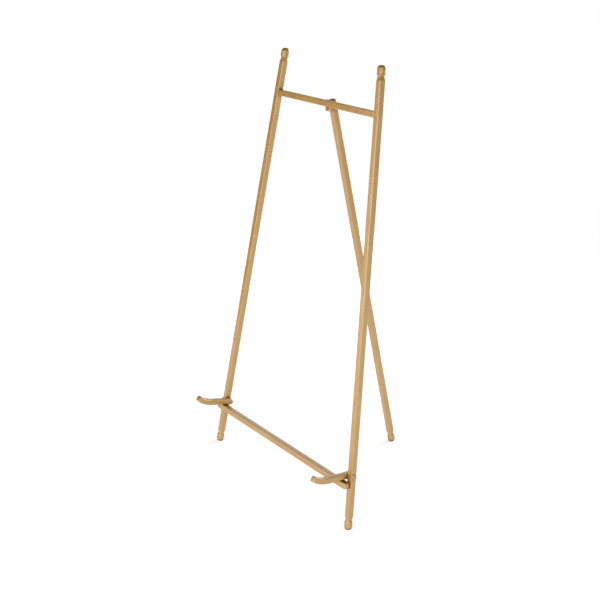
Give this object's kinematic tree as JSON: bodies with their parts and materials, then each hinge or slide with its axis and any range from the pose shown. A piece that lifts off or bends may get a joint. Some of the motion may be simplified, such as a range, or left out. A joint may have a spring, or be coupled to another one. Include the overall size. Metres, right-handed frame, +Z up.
{
  "type": "display easel",
  "caption": "Folding metal display easel with a leaning A-shaped frame, a rear leg hinged behind the top rail and upturned hooks that hold a picture.",
  "frame": {"origin": "on the floor, at the middle of the open easel's bounding box", "axes": "+Z up, -Y towards the viewer that the picture faces, +X to that viewer's right"},
  "size_m": [0.3234, 0.2656, 0.5906],
  "materials": {
    "gilded_bar": "satin gold over forged iron",
    "gilded_hook": "satin gold over hammered iron",
    "gilded_fitting": "satin gold, darker in the creases"
  },
  "bodies": {
    "frame": {"left_upright": "gilded_bar", "right_upright": "gilded_bar", "top_rail": "gilded_bar", "bottom_rail": "gilded_bar", "left_hook": "gilded_hook", "right_hook": "gilded_hook", "left_hook_rivet": "gilded_fitting", "right_hook_rivet": "gilded_fitting", "hinge_bracket": "gilded_fitting", "hinge_rivet": "gilded_fitting"},
    "rear_leg": {"rear_leg": "gilded_bar"}
  },
  "joints": [
    {"name": "leg_fold", "type": "hinge", "parent": "frame", "child": "rear_leg", "pos_m": [0, 0.00617, 0.52421], "axis": [-1, 0, 0], "range_deg": [0, 23]}
  ]
}
